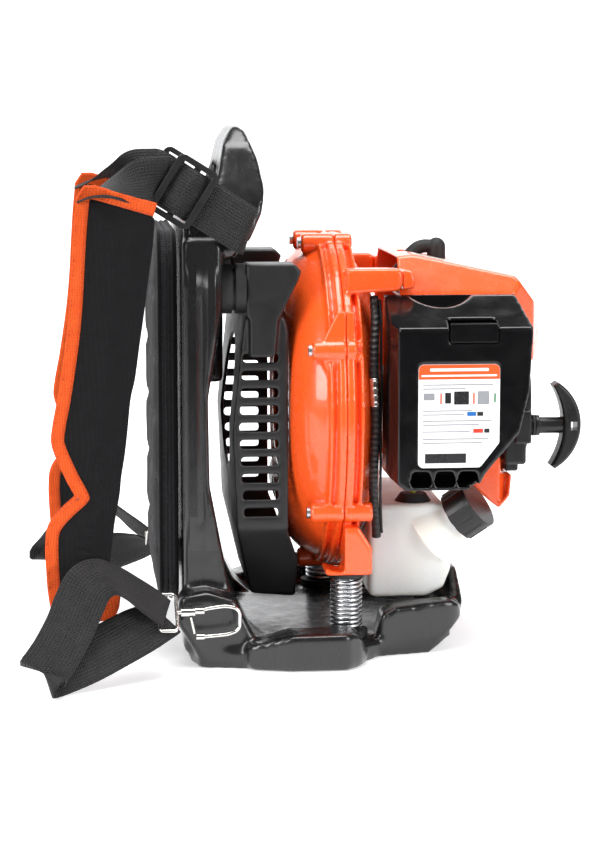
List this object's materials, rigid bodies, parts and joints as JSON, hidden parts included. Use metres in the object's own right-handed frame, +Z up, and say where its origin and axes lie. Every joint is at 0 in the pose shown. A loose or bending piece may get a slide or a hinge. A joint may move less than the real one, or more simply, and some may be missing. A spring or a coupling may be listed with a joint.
{
  "type": "backpack leaf blower",
  "caption": "Backpack leaf blower: sprung engine and fan unit with orange volute and cover, fuel tank, recoil starter and black carrying frame with padded harness",
  "frame": {"origin": "on the floor, in the flat underside of the carrying frame, in the plane of the crank axis; the suspension springs stand 30.5 mm behind it", "axes": "+X to the rear (engine side), +Y to the machine's right (air outlet side), +Z up; the wearer is at -X"},
  "size_m": [0.4987, 0.4896, 0.4679],
  "materials": {
    "frame_plastic": "satin moulded",
    "rubber": "matt",
    "spring_steel": "bright zinc",
    "pad_fabric": "woven",
    "webbing": "ribbed weave",
    "buckle_plastic": "satin",
    "nickel": "nickel plated",
    "guard_plastic": "matt moulded",
    "orange_plastic": "gloss moulded",
    "screw_steel": "zinc",
    "fan_plastic": "moulded nylon",
    "cast_alloy": "cast",
    "bearing_steel": "ground",
    "insulator_plastic": "phenolic",
    "cable_sheath": "corrugated",
    "muffler_steel": "heat-stained steel",
    "airbox_plastic": "high gloss",
    "filter_foam": "open foam",
    "label": "printed film",
    "tank_plastic": "translucent blow moulded",
    "fuel_hose": "translucent",
    "cap_plastic": "satin",
    "rope": "braided"
  },
  "bodies": {
    "carrier": {"air_filter": "filter_foam", "airbox_base": "airbox_plastic", "back_pad": "pad_fabric", "carburettor": "cast_alloy", "carrying_frame": "frame_plastic", "crank_bearings": "bearing_steel", "crankcase": "cast_alloy", "cylinder": "cast_alloy", "engine_cover": "orange_plastic", "fuel_line": "fuel_hose", "fuel_pickup": "filter_foam", "fuel_tank": "tank_plastic", "hook_rings": "nickel", "ignition_coil": "guard_plastic", "ignition_lead": "rubber", "inlet_guard": "guard_plastic", "intake_insulator": "insulator_plastic", "lower_webbings": "webbing", "muffler": "muffler_steel", "muffler_guard": "guard_plastic", "outlet_spigot": "guard_plastic", "plug_boot": "rubber", "recoil_spring": "spring_steel", "rope_guide": "rubber", "rubber_buffers": "rubber", "shoulder_pad_left": "pad_fabric", "shoulder_pad_right": "pad_fabric", "spark_plug": "bearing_steel", "spring_cups": "rubber", "starter_housing": "cap_plastic", "suspension_springs": "spring_steel", "tank_grommet": "rubber", "throttle_conduit": "cable_sheath", "tri_glides": "buckle_plastic", "upper_webbings": "webbing", "volute_front": "orange_plastic", "volute_rear": "orange_plastic", "volute_screws": "screw_steel"},
    "rotor": {"crankshaft": "bearing_steel", "flywheel": "cast_alloy", "fan_impeller": "fan_plastic"},
    "reciprocating": {"piston": "cast_alloy", "connecting_rod": "bearing_steel", "rod_pins": "bearing_steel"},
    "air_cover": {"airbox_cover": "airbox_plastic", "instruction_label": "label"},
    "latch": {"cover_latch": "airbox_plastic"},
    "cap_seal": {"cap_gasket": "rubber"},
    "cap": {"filler_cap": "cap_plastic"},
    "choke": {"choke_lever": "airbox_plastic"},
    "throttle": {"throttle_lever": "screw_steel"},
    "pull_handle": {"starter_handle": "cap_plastic"},
    "reel": {"starter_pulley": "guard_plastic", "starter_pawls": "screw_steel", "starter_rope": "rope"},
    "left_hook": {"snap_hook_left": "nickel"},
    "left_gate": {"hook_gate_left": "nickel"},
    "right_hook": {"snap_hook_right": "nickel"},
    "right_gate": {"hook_gate_right": "nickel"}
  },
  "joints": [
    {"name": "crank_spin", "type": "hinge", "parent": "carrier", "child": "rotor", "pos_m": [0, 0, 0.217], "axis": [1, 0, 0], "continuous": true},
    {"name": "piston_stroke", "type": "slide", "parent": "carrier", "child": "reciprocating", "axis": [0, 0, 1], "range_m": [-0.028, 0]},
    {"name": "air_cover_pull", "type": "slide", "parent": "carrier", "child": "air_cover", "axis": [0, -1, 0], "range_m": [0, 0.08]},
    {"name": "latch_tilt", "type": "hinge", "parent": "air_cover", "child": "latch", "pos_m": [0.135, -0.1594, 0.286], "axis": [1, 0, 0], "range_deg": [0, 30], "stiffness_Nm_per_rad": 0.05},
    {"name": "cap_lift", "type": "slide", "parent": "carrier", "child": "cap_seal", "axis": [0.7401, -0.3401, 0.5801], "range_m": [0, 0.00375]},
    {"name": "cap_turn", "type": "hinge", "parent": "cap_seal", "child": "cap", "pos_m": [0.1422, -0.0862, 0.1244], "axis": [0.7401, -0.3401, 0.5801], "range_deg": [0, 450]},
    {"name": "choke_turn", "type": "hinge", "parent": "carrier", "child": "choke", "pos_m": [0.17, -0.096, 0.225], "axis": [0, 1, 0], "range_deg": [0, 45]},
    {"name": "throttle_turn", "type": "hinge", "parent": "carrier", "child": "throttle", "pos_m": [0.126, -0.074, 0.295], "axis": [0, 0, 1], "range_deg": [-60, 0], "stiffness_Nm_per_rad": 0.02},
    {"name": "handle_pull", "type": "slide", "parent": "carrier", "child": "pull_handle", "axis": [1, 0, 0], "range_m": [0, 0.7], "stiffness_N_per_m": 14},
    {"name": "reel_turn", "type": "hinge", "parent": "carrier", "child": "reel", "pos_m": [0.185, 0, 0.217], "axis": [1, 0, 0], "range_deg": [-1440, 0]},
    {"name": "left_hook_swivel", "type": "hinge", "parent": "carrier", "child": "left_hook", "pos_m": [-0.116, -0.171, 0.0546], "axis": [1, 0, 0], "range_deg": [-90, 0]},
    {"name": "left_gate_press", "type": "hinge", "parent": "left_hook", "child": "left_gate", "pos_m": [-0.1107, -0.171, 0.0506], "axis": [0, 1, 0], "range_deg": [-25, 0], "stiffness_Nm_per_rad": 0.02},
    {"name": "right_hook_swivel", "type": "hinge", "parent": "carrier", "child": "right_hook", "pos_m": [-0.116, 0.171, 0.0546], "axis": [1, 0, 0], "range_deg": [0, 90]},
    {"name": "right_gate_press", "type": "hinge", "parent": "right_hook", "child": "right_gate", "pos_m": [-0.1107, 0.171, 0.0506], "axis": [0, 1, 0], "range_deg": [-25, 0], "stiffness_Nm_per_rad": 0.02}
  ],
  "couplings": [
    {"joint": "reel_turn", "follows": "handle_pull", "rad_per_m": -35.714},
    {"joint": "cap_turn", "follows": "cap_lift", "rad_per_m": 2094.4}
  ]
}
